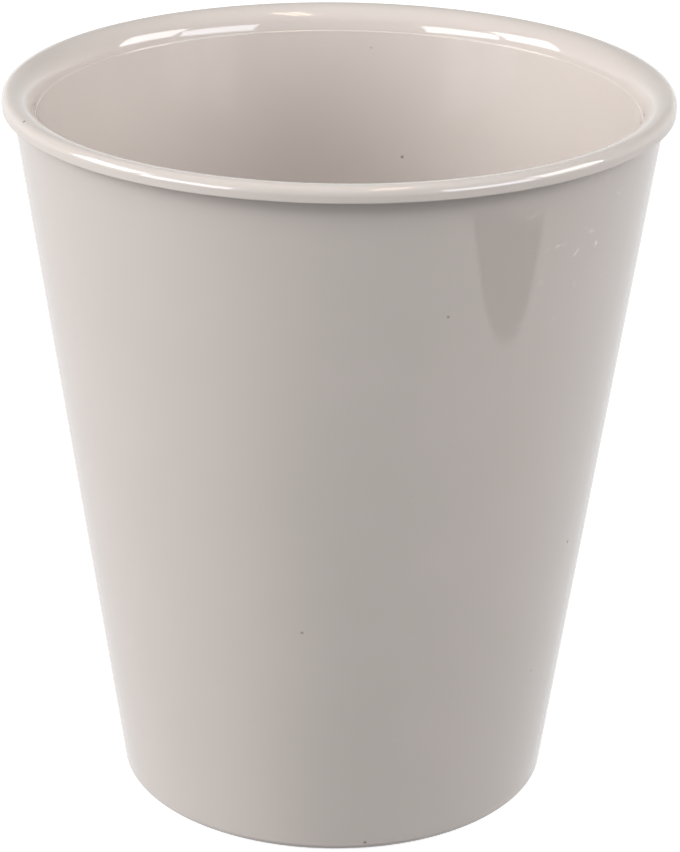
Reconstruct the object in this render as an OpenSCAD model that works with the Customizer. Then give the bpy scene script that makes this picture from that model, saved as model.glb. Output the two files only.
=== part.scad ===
// Reusable cup, moulded in one piece: a tapered wall with a turned-out lip,
// a stacking shoulder just inside the mouth and a shallow recess under the base.
// The whole cup is one section turned about the Z axis. The origin is the centre
// of the circle it stands on.

/* [Body] */
// Height from the table to the top of the lip
height = 100; // [70:1:140]
// Diameter of the outer wall carried down to the table
base_d = 60; // [48:0.5:70]
// Thickness of the wall below the shoulder, square to the wall
wall_t = 2.95; // [2.4:0.05:4]
// Thickness of the floor
floor_t = 3.2; // [2:0.1:6]
// Radius between the floor and the wall inside
floor_fillet_r = 7; // [2:0.5:12]

/* [Lip] */
// Diameter over the lip
rim_d = 90; // [82:0.5:104]
// Height of the lip from its underside to its top
lip_h = 2.2; // [1.8:0.1:5]
// How far the lip stands out from the wall at its underside
lip_out = 1.4; // [0.8:0.1:3]
// Rounding of the lip's outer top edge
lip_crown_r = 1.2; // [0.5:0.1:1.4]
// Rounding of the lip's lower edge
lip_edge_r = 0.3; // [0.1:0.05:0.35]
// Fillet between the wall and the lip's underside
lip_root_r = 0.4; // [0.1:0.05:0.45]
// Width of the level land on top of the lip
lip_land_w = 0.05; // [0.05:0.05:0.5]

/* [Stacking shoulder] */
// Width of the shoulder, square to the wall
shoulder_w = 0.1; // [0.1:0.05:0.8]
// How far the shoulder falls towards its inner edge
shoulder_fall = 0.1; // [0.1:0.05:0.6]
// Height of the straight mouth between its rounded top and the shoulder
mouth_h = 0.6; // [0.15:0.05:8]
// Fillet between the mouth and the shoulder
shoulder_root_r = 0.15; // [0.1:0.05:0.35]
// Rounding of the shoulder's inner edge
shoulder_edge_r = 0.15; // [0.1:0.05:0.6]

/* [Base] */
// Rounding between the wall and the foot
base_edge_r = 1.2; // [0.5:0.1:3]
// Width of the foot ring from the wall to the recess
foot_w = 4; // [3.5:0.1:8]
// Depth of the recess under the base
recess_h = 1; // [0.6:0.1:2]
// How far the side of the recess leans in over its depth
recess_lean = 0.4; // [0.1:0.1:1]
// Rounding of the foot ring's inner edge
foot_edge_r = 0.3; // [0.1:0.05:0.4]

/* [Hidden] */
turn_facets = 240;
arc_facets = 96;
// How far an arc runs past the sides of its corner, so that it crosses them cleanly
arc_overrun = 0.0002;
// Share of a corner's radius that its cut or fillet reaches past the corner
corner_overrun = 0.1;
// Most of the shoulder's slope that either of its roundings may take
shoulder_share = 0.45;

rim_r = rim_d / 2;
base_r = base_d / 2;
foot_r = base_r - foot_w;
floor_z = recess_h + floor_t;
lip_z = height - lip_h;
lean = (rim_r - lip_out - base_r) / lip_z;

// Radius of the outer wall at a height
function outer_r(z) = base_r + lean * z;

// Radius, at a height, of the surface that lies a thickness inside the outer wall
function inside_r(z, thickness) = outer_r(z) - thickness * sqrt(1 + lean * lean);

// The mouth's top edge takes all the width between its wall and the lip's land, and the same length
// of the mouth's wall, so the shoulder comes below that
mouth_wall_t = wall_t - shoulder_w;
mouth_top_r = inside_r(height, mouth_wall_t);
mouth_crown_w = rim_r - lip_crown_r - lip_land_w - mouth_top_r;
mouth_crown_r = mouth_crown_w * tan((90 + atan(lean)) / 2);
shoulder_z = height - mouth_crown_w * cos(atan(lean)) - mouth_h;
ledge_z = shoulder_z - shoulder_fall;

// Corners of the section, from the foot up the outside and down the inside: radius, height
corners = [
    [base_r, 0],
    [outer_r(lip_z), lip_z],
    [rim_r, lip_z],
    [rim_r, height],
    [mouth_top_r, height],
    [inside_r(shoulder_z, mouth_wall_t), shoulder_z],
    [inside_r(ledge_z, wall_t), ledge_z],
    [inside_r(floor_z, wall_t), floor_z],
    [0, floor_z],
    [0, recess_h],
    [foot_r - recess_lean, recess_h],
    [foot_r, 0]
];

// Corners 5 and 6 are the shoulder's
shoulder_slope = norm(corners[6] - corners[5]);

// Rounding of each corner, in the same order
roundings = [
    base_edge_r,
    lip_root_r,
    lip_edge_r,
    lip_crown_r,
    mouth_crown_r,
    min(shoulder_root_r, widest(5, shoulder_share * shoulder_slope)),
    min(shoulder_edge_r, widest(6, shoulder_share * shoulder_slope)),
    floor_fillet_r,
    0,
    0,
    foot_edge_r,
    foot_edge_r
];

function at(i) = corners[(i + len(corners)) % len(corners)];
function rounding(i) = roundings[(i + len(corners)) % len(corners)];

// Direction from corner i to corner j, and the line that halves corner i
function toward(i, j) = (at(j) - at(i)) / norm(at(j) - at(i));
function halfway(i) = let(sum = toward(i, i - 1) + toward(i, i + 1)) sum / norm(sum);
function half_angle(i) = acos(toward(i, i - 1) * toward(i, i + 1)) / 2;

// Radius that takes a given length of each side of corner i
function widest(i, length) = length * tan(half_angle(i));

// Where corner i's arc has its centre, and where it touches the side that runs to corner j
function centre(i) = at(i) + halfway(i) * rounding(i) / sin(half_angle(i));
function touch(i, j) = at(i) + toward(i, j) * rounding(i) / tan(half_angle(i));

function is_round(i) = rounding(i) > 0;
function is_hollow(i) = cross(toward(i, i - 1), toward(i, i + 1)) > 0;

// The sliver between corner i and its arc: a cut where the corner stands out, a fillet where it is hollow
module corner_sliver(i) {
    difference() {
        polygon([
            touch(i, i - 1),
            at(i) - halfway(i) * rounding(i) * corner_overrun,
            touch(i, i + 1)
        ]);
        translate(centre(i)) circle(r = rounding(i) + arc_overrun, $fn = arc_facets);
    }
}

module turned() {
    rotate_extrude($fn = turn_facets) children();
}

module sharp_body() {
    turned() polygon([for (i = [0:len(corners) - 1]) at(i)]);
}

module fillets() {
    turned() for (i = [0:len(corners) - 1]) if (is_round(i) && is_hollow(i)) corner_sliver(i);
}

module edge_cuts() {
    turned() for (i = [0:len(corners) - 1]) if (is_round(i) && !is_hollow(i)) corner_sliver(i);
}

module cup() {
    color("#cdc5c0")
    difference() {
        union() {
            sharp_body();
            fillets();
        }
        edge_cuts();
    }
}

cup();
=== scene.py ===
import math

import bmesh
import bpy
from mathutils import Matrix, Vector


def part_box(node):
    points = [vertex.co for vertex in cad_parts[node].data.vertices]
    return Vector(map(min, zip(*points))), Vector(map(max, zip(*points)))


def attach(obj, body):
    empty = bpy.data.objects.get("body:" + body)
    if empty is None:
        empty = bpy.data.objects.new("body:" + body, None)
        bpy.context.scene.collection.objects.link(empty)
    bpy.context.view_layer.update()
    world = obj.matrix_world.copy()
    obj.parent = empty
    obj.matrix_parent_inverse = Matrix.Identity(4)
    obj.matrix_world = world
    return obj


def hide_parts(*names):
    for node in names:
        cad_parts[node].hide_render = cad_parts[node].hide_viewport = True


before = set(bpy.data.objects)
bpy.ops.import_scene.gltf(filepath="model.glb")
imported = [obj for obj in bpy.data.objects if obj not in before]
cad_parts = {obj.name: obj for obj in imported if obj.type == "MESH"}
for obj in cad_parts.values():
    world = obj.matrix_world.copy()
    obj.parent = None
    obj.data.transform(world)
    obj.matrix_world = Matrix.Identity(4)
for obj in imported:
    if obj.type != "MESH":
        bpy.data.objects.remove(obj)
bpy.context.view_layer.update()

mm = 0.001
white = (1.0, 1.0, 1.0, 1.0)


def linearColour(hexCode):
    parts = [int(hexCode[i:i + 2], 16) / 255 for i in (1, 3, 5)]
    return tuple(c / 12.92 if c < 0.04045 else ((c + 0.055) / 1.055) ** 2.4 for c in parts) + (1.0,)


def addNode(tree, kind, settings=None, inputs=None):
    node = tree.nodes.new(kind)
    for name, value in (settings or {}).items():
        setattr(node, name, value)
    for name, value in (inputs or {}).items():
        socket = node.inputs[name]
        if isinstance(value, bpy.types.NodeSocket):
            tree.links.new(value, socket)
        else:
            socket.default_value = value
    return node


def bareMaterial(name):
    material = bpy.data.materials.new(name)
    material.use_nodes = True
    material.node_tree.nodes.clear()
    return material


# The cup is one section turned about its axis. Sizes are in millimetres and repeat the solid's own.
cupSection = {
    "baseRadius": 30.0,
    "baseRound": 1.2,
    "wallThickness": 2.95,
    "floorThickness": 3.2,
    "floorFillet": 7.0,
    "lipHeight": 2.2,
    "lipOut": 1.4,
    "lipCrown": 1.2,
    "lipEdge": 0.3,
    "lipRoot": 0.4,
    "lipLand": 0.05,
    "shoulderWidth": 0.1,
    "shoulderFall": 0.1,
    "shoulderRoot": 0.15,
    "shoulderEdge": 0.15,
    "mouthHeight": 0.6,
    "footWidth": 4.0,
    "footEdge": 0.3,
    "recessDepth": 1.0,
    "recessLean": 0.4,
    "arcSteps": 10,
    "turnSteps": 256,
    "longestSide": 4.0,
    "weld": 0.0001,
}


def sectionCorners(s):
    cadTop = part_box("cup")[1]
    height, rim = cadTop.z / mm, cadTop.x / mm
    lipLow = height - s["lipHeight"]
    lean = (rim - s["lipOut"] - s["baseRadius"]) / lipLow
    level = math.hypot(1, lean)  # a thickness square to the wall, measured level

    def inside(z, thickness):
        return s["baseRadius"] + lean * z - thickness * level

    mouthWall = s["wallThickness"] - s["shoulderWidth"]
    mouthTop = inside(height, mouthWall)
    crown = rim - s["lipCrown"] - s["lipLand"] - mouthTop
    shoulder = height - crown / level - s["mouthHeight"]
    ledge = shoulder - s["shoulderFall"]
    floor = s["recessDepth"] + s["floorThickness"]
    foot = s["baseRadius"] - s["footWidth"]
    return [  # radius, height, rounding
        (s["baseRadius"], 0, s["baseRound"]),
        (inside(lipLow, 0), lipLow, s["lipRoot"]),
        (rim, lipLow, s["lipEdge"]),
        (rim, height, s["lipCrown"]),
        (mouthTop, height, crown * math.tan((math.pi / 2 + math.atan(lean)) / 2)),
        (inside(shoulder, mouthWall), shoulder, s["shoulderRoot"]),
        (inside(ledge, s["wallThickness"]), ledge, s["shoulderEdge"]),
        (inside(floor, s["wallThickness"]), floor, s["floorFillet"]),
        (0, floor, 0),
        (0, s["recessDepth"], 0),
        (foot - s["recessLean"], s["recessDepth"], s["footEdge"]),
        (foot, 0, s["footEdge"]),
    ]


def turnedCup(s):
    corners = sectionCorners(s)
    bm = bmesh.new()
    points = [bm.verts.new((radius * mm, 0, z * mm)) for radius, z, rounding in corners]
    for here, after in zip(points, points[1:] + points[:1]):
        if here.co.x or after.co.x:  # the stretch along the axis stays open
            bm.edges.new((here, after))
    for point, (radius, z, rounding) in zip(points, corners):
        if rounding:
            sides = [edge.other_vert(point).co - point.co for edge in point.link_edges]
            reach = rounding * mm / math.tan(sides[0].angle(sides[1]) / 2)
            bmesh.ops.bevel(bm, geom=[point], offset=reach, offset_type="OFFSET", affect="VERTICES",
                            segments=s["arcSteps"], profile=0.5, material=-1)
    for edge in [edge for edge in bm.edges if edge.calc_length() > s["longestSide"] * mm]:
        cuts = math.ceil(edge.calc_length() / (s["longestSide"] * mm)) - 1
        bmesh.ops.subdivide_edges(bm, edges=[edge], cuts=cuts)
    bmesh.ops.spin(bm, geom=bm.verts[:] + bm.edges[:], cent=(0, 0, 0), axis=(0, 0, 1),
                   angle=math.tau, steps=s["turnSteps"], use_merge=True)
    bmesh.ops.remove_doubles(bm, verts=bm.verts[:], dist=s["weld"] * mm)
    bmesh.ops.recalc_face_normals(bm, faces=bm.faces[:])
    for face in bm.faces:
        face.smooth = True
    mesh = bpy.data.meshes.new("cup_turned")
    bm.to_mesh(mesh)
    bm.free()
    piece = bpy.data.objects.new("cup_turned", mesh)
    bpy.context.scene.collection.objects.link(piece)
    piece.modifiers.new("even shading", "WEIGHTED_NORMAL")
    return piece


# Moulded melamine filled with plant fibre: a hard, even body under a close gloss, so the highlights are
# small and sharp and the grey keeps its warmth. Stray fibres show as dark specks, and stacking leaves pale
# rubs. Sizes are in millimetres.
melamine = {
    "body": "#d5cac5",
    "mottleColour": "#d0c6c0",
    "speckColour": "#8f7a6b",
    "rubColour": "#e3dcd6",
    "ior": 1.65,
    "roughness": (0.038, 0.065),
    "mottleSize": 14.0,
    "speckSpacing": 4.5,
    "speckRadius": 0.32,
    "speckShare": 0.12,
    "spotCore": 0.3,  # share of a spot's radius that has its full colour
    "rubSpacing": 2.4,
    "rubRadius": 0.6,
    "rubShare": 0.9,
    "rubPlace": (29.9, -29.9, 88.0),  # on the wall under the lip, where the next cup of a stack has touched
    "rubReach": (7.0, 15.0),
    "rubBend": 4.0,
    "rubBendSize": 3.0,
    "rubSqueeze": (0.5, 0.5, 1.2),
    "rubPaleness": 0.5,
    "rubDullness": 0.25,
    "grainSize": 0.7,  # the real grain is finer, and this is the finest that shows
    "grainDepth": 0.0012,
    "waveSize": 16.0,
    "waveDepth": 0.02,
}


def mouldedMelamine(m):
    material = bareMaterial("moulded glossy melamine")
    tree = material.node_tree
    place = addNode(tree, "ShaderNodeTexCoord").outputs["Object"]

    def noise(size, detail=2.0, output="Fac"):
        return addNode(tree, "ShaderNodeTexNoise", inputs={
            "Vector": place, "Scale": 1 / (size * mm), "Detail": detail}).outputs[output]

    def spots(vector, spacing, radius, share):
        cells = addNode(tree, "ShaderNodeTexVoronoi", inputs={"Vector": vector, "Scale": 1 / (spacing * mm)})
        chance = addNode(tree, "ShaderNodeSeparateColor", inputs={"Color": cells.outputs["Color"]})
        chosen = addNode(tree, "ShaderNodeMath", {"operation": "LESS_THAN"}, {
            0: chance.outputs["Red"], 1: share})
        spot = addNode(tree, "ShaderNodeMapRange", inputs={
            "Value": cells.outputs["Distance"],
            "From Min": radius / spacing, "From Max": m["spotCore"] * radius / spacing})
        return addNode(tree, "ShaderNodeMath", {"operation": "MULTIPLY"}, {
            0: spot.outputs["Result"], 1: chosen.outputs[0]}).outputs[0]

    def blend(amount, under, over):  # sockets 0, 6, 7 and 2 of a mix node are its factor and its colours
        return addNode(tree, "ShaderNodeMix", {"data_type": "RGBA"}, {0: amount, 6: under, 7: over}).outputs[2]

    mottle = blend(noise(m["mottleSize"]), linearColour(m["body"]), linearColour(m["mottleColour"]))
    specks = spots(place, m["speckSpacing"], m["speckRadius"], m["speckShare"])
    specked = blend(specks, mottle, linearColour(m["speckColour"]))

    # the rubs are short, uneven and lie round the wall, so their pattern is bent a little and squeezed upwards
    bent = addNode(tree, "ShaderNodeVectorMath", {"operation": "MULTIPLY_ADD"}, {
        0: noise(m["rubBendSize"], 3.0, "Color"), 1: [m["rubBend"] * mm] * 3, 2: place})
    flattened = addNode(tree, "ShaderNodeMapping", inputs={
        "Vector": bent.outputs["Vector"], "Scale": m["rubSqueeze"]})
    rubs = spots(flattened.outputs["Vector"], m["rubSpacing"], m["rubRadius"], m["rubShare"])
    near, far = m["rubReach"]
    away = addNode(tree, "ShaderNodeVectorMath", {"operation": "DISTANCE"}, {
        0: place, 1: [mm * side for side in m["rubPlace"]]})
    where = addNode(tree, "ShaderNodeMapRange", {"interpolation_type": "SMOOTHSTEP"}, {
        "Value": away.outputs["Value"], "From Min": far * mm, "From Max": near * mm})
    rubbed = addNode(tree, "ShaderNodeMath", {"operation": "MULTIPLY"}, {0: rubs, 1: where.outputs["Result"]})
    pale = addNode(tree, "ShaderNodeMath", {"operation": "MULTIPLY"}, {
        0: rubbed.outputs[0], 1: m["rubPaleness"]})
    colour = blend(pale.outputs[0], specked, linearColour(m["rubColour"]))

    smooth, dull = m["roughness"]
    gloss = addNode(tree, "ShaderNodeMapRange", inputs={
        "Value": noise(m["mottleSize"] / 2), "To Min": smooth, "To Max": dull})
    rougher = addNode(tree, "ShaderNodeMath", {"operation": "MULTIPLY_ADD"}, {
        0: rubbed.outputs[0], 1: m["rubDullness"], 2: gloss.outputs["Result"]})

    waves = addNode(tree, "ShaderNodeBump", inputs={
        "Height": noise(m["waveSize"], 0.0), "Distance": m["waveDepth"] * mm, "Strength": 1.0})
    grain = addNode(tree, "ShaderNodeBump", inputs={
        "Height": noise(m["grainSize"]), "Distance": m["grainDepth"] * mm, "Strength": 1.0,
        "Normal": waves.outputs["Normal"]})
    shader = addNode(tree, "ShaderNodeBsdfPrincipled", inputs={
        "Base Color": colour, "Roughness": rougher.outputs[0], "IOR": m["ior"],
        "Normal": grain.outputs["Normal"]})
    addNode(tree, "ShaderNodeOutputMaterial", inputs={"Surface": shader.outputs["BSDF"]})
    return material


# The camera stands where the photograph's outline of the cup puts it. Lengths are in millimetres, angles in
# degrees.
photoCamera = {
    "back": 392.98,
    "up": 211.8,
    "pitch": 22.294,
    "yaw": -0.086,
    "roll": 0.649,
    "lens": 128.37,
    "nearest": 10.0,
}


def placeCamera(c):
    camera = bpy.data.objects.new("camera", bpy.data.cameras.new("camera"))
    bpy.context.scene.collection.objects.link(camera)
    camera.matrix_world = (
        Matrix.Translation((0, -c["back"] * mm, c["up"] * mm))
        @ Matrix.Rotation(math.radians(c["yaw"]), 4, "Z")
        @ Matrix.Rotation(math.radians(90 - c["pitch"]), 4, "X")
        @ Matrix.Rotation(math.radians(c["roll"]), 4, "Z"))
    camera.data.lens = c["lens"]
    camera.data.clip_start = c["nearest"] * mm
    bpy.context.scene.camera = camera


# The backdrop and the floor are white paper. The camera sees them white, with the cup's shadow on the floor,
# and the floor throws little light back. In reflections both are white too, and the backdrop gets dimmer
# over a span of its rise, to the brightness of the ceiling. The floor's size is in metres.
sweep = {
    "floorSize": 6.0,
    "paper": "#bcbcbc",
    "glow": 0.75,
    "bounce": "#606060",
    "dimming": (0.05, 0.45),
    "ceiling": 0.1,
}


# A dark card lies on the floor beside the cup, out of view, and mirrors in the wall as the soft wedge under
# the lip. It is matt, so it shows an even grey. Its corners are in millimetres.
darkCard = {
    "corners": ((125, -98), (127, -78), (138, -62), (154, -56), (186, -56), (160, -104), (132, -134)),
    "lift": 0.5,
    "colour": "#6a6a6a",
    "roughness": 0.9,
}


def pathMix(tree, ray, otherwise, seen):
    path = addNode(tree, "ShaderNodeLightPath")
    return addNode(tree, "ShaderNodeMixShader", inputs={
        0: path.outputs[ray], 1: otherwise.outputs[0], 2: seen.outputs[0]})


def hangBackdrop(s):
    world = bpy.data.worlds.new("studio")
    bpy.context.scene.world = world
    world.use_nodes = True
    tree = world.node_tree
    tree.nodes.clear()
    unlit = addNode(tree, "ShaderNodeBackground", inputs={"Strength": 0.0})
    backdrop = addNode(tree, "ShaderNodeBackground", inputs={"Color": white, "Strength": 1.0})
    ray = addNode(tree, "ShaderNodeTexCoord").outputs["Generated"]
    rise = addNode(tree, "ShaderNodeSeparateXYZ", inputs={"Vector": ray}).outputs["Z"]
    low, high = s["dimming"]
    dimming = addNode(tree, "ShaderNodeMapRange", inputs={
        "Value": rise, "From Min": low, "From Max": high, "To Min": 1.0, "To Max": s["ceiling"]})
    mirrored = addNode(tree, "ShaderNodeBackground", inputs={
        "Color": white, "Strength": dimming.outputs["Result"]})
    shown = pathMix(tree, "Is Glossy Ray", unlit, mirrored)
    shown = pathMix(tree, "Is Transmission Ray", shown, mirrored)
    shown = pathMix(tree, "Is Camera Ray", shown, backdrop)
    addNode(tree, "ShaderNodeOutputWorld", inputs={"Surface": shown.outputs[0]})


def stageSheet(name, corners, material):
    bm = bmesh.new()
    bm.faces.new([bm.verts.new(corner) for corner in corners])
    mesh = bpy.data.meshes.new(name)
    bm.to_mesh(mesh)
    bm.free()
    mesh.materials.append(material)
    sheet = bpy.data.objects.new(name, mesh)
    bpy.context.scene.collection.objects.link(sheet)
    return sheet


def layFloor(s):
    material = bareMaterial("pale paper sweep")
    tree = material.node_tree
    bounce = addNode(tree, "ShaderNodeBsdfDiffuse", inputs={"Color": linearColour(s["bounce"])})
    paper = addNode(tree, "ShaderNodeBsdfDiffuse", inputs={"Color": linearColour(s["paper"])})
    glow = addNode(tree, "ShaderNodeEmission", inputs={"Color": white, "Strength": s["glow"]})
    lit = addNode(tree, "ShaderNodeAddShader", inputs={0: paper.outputs[0], 1: glow.outputs[0]})
    mirrored = addNode(tree, "ShaderNodeEmission", inputs={"Color": white, "Strength": 1.0})
    shown = pathMix(tree, "Is Camera Ray", bounce, lit)
    shown = pathMix(tree, "Is Glossy Ray", shown, mirrored)
    shown = pathMix(tree, "Is Transmission Ray", shown, mirrored)
    addNode(tree, "ShaderNodeOutputMaterial", inputs={"Surface": shown.outputs[0]})
    side = s["floorSize"] / 2
    stageSheet("floor", ((-side, -side, 0), (side, -side, 0), (side, side, 0), (-side, side, 0)), material)


def layDarkCard(c):
    material = bareMaterial("black card")
    tree = material.node_tree
    shader = addNode(tree, "ShaderNodeBsdfPrincipled", inputs={
        "Base Color": linearColour(c["colour"]), "Roughness": c["roughness"]})
    addNode(tree, "ShaderNodeOutputMaterial", inputs={"Surface": shader.outputs["BSDF"]})
    card = stageSheet("dark card", [(x * mm, y * mm, c["lift"] * mm) for x, y in c["corners"]], material)
    card.visible_camera = card.visible_diffuse = card.visible_shadow = False


# Each lamp panel is its azimuth from the camera side, elevation, width and height in degrees, and its radiance.
# Distances are in metres from the aim, a point on the cup's axis.
lamps = {
    "aim": 0.08,
    "softboxes": {  # two at each side, which also mirror in the lip
        "colour": "#fffdfd",
        "distance": 0.9,
        "panels": [
            (-50, 13.5, 31.5, 23, 3.2),
            (50, 13.5, 31.5, 23, 1.35),
            (-83, 23, 27, 26, 6.2),
            (83, 23, 27, 26, 6.0),
        ],
    },
    "gleams": {  # the softboxes are brighter and cooler in reflections than in the light they give
        "colour": "#e8f0ff",
        "distance": 0.89,
        "panels": [
            (-50, 13.5, 31.5, 23, 3.0),
            (50, 13.5, 31.5, 23, 4.2),
            (-83, 23, 27, 26, 0.4),
            (83, 23, 27, 26, 0.4),
        ],
    },
    "tubes": {  # two warm tubes under the ceiling show as glints on top of the lip
        "colour": "#ffd9bc",
        "distance": 1.9,
        "panel": (0, 90, 2.2, 26, 9.0),
        "shifts": [(0.32, -0.6, 0), (0.45, -0.6, 0)],
    },
    "cloths": {  # large cloths light the cup from above, low at the sides and from behind, and never mirror
        "colour": "#fafffe",
        "distance": 2.0,
        "panels": [
            (0, 57, 60, 30, 3.4),
            (-75, 33, 56, 28, 2.1),
            (105, 33, 56, 28, 0.85),
            (-75, 8, 40, 14, 1.3),
            (75, 8, 40, 14, 0.9),
            (180, 8, 70, 20, 3.0),
        ],
    },
}


def hangLamp(name, kind, panel):
    azimuth, elevation, across, tall, radiance = panel
    turn, rise = math.radians(azimuth), math.radians(elevation)
    away = Vector((math.sin(turn) * math.cos(rise), -math.cos(turn) * math.cos(rise), math.sin(rise)))
    light = bpy.data.lights.new(name, "AREA")
    light.shape = "RECTANGLE"
    light.size = 2 * kind["distance"] * math.tan(math.radians(across / 2))
    light.size_y = 2 * kind["distance"] * math.tan(math.radians(tall / 2))
    light.energy = radiance * math.pi * light.size * light.size_y
    light.color = linearColour(kind["colour"])[:3]
    lamp = bpy.data.objects.new(name, light)
    bpy.context.scene.collection.objects.link(lamp)
    lamp.matrix_world = Matrix.LocRotScale(
        Vector((0, 0, lamps["aim"])) + away * kind["distance"], away.to_track_quat("Z", "Y"), None)
    return lamp


def hangLamps():
    for panel in lamps["softboxes"]["panels"]:
        hangLamp("softbox", lamps["softboxes"], panel)
    for panel in lamps["gleams"]["panels"]:
        hangLamp("gleam", lamps["gleams"], panel).visible_diffuse = False
    for shift in lamps["tubes"]["shifts"]:
        tube = hangLamp("ceiling tube", lamps["tubes"], lamps["tubes"]["panel"])
        tube.location += Vector(shift)
        tube.visible_diffuse = False
    for panel in lamps["cloths"]["panels"]:
        hangLamp("overhead cloth", lamps["cloths"], panel).visible_glossy = False


scene = bpy.context.scene
scene.view_settings.view_transform = "Standard"
placeCamera(photoCamera)
hangBackdrop(sweep)
layFloor(sweep)
layDarkCard(darkCard)
hangLamps()
print("studio ready")

cup = turnedCup(cupSection)
cup.data.materials.append(mouldedMelamine(melamine))
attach(cup, "root")
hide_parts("cup")
print("cup turned:", len(cup.data.polygons), "faces")
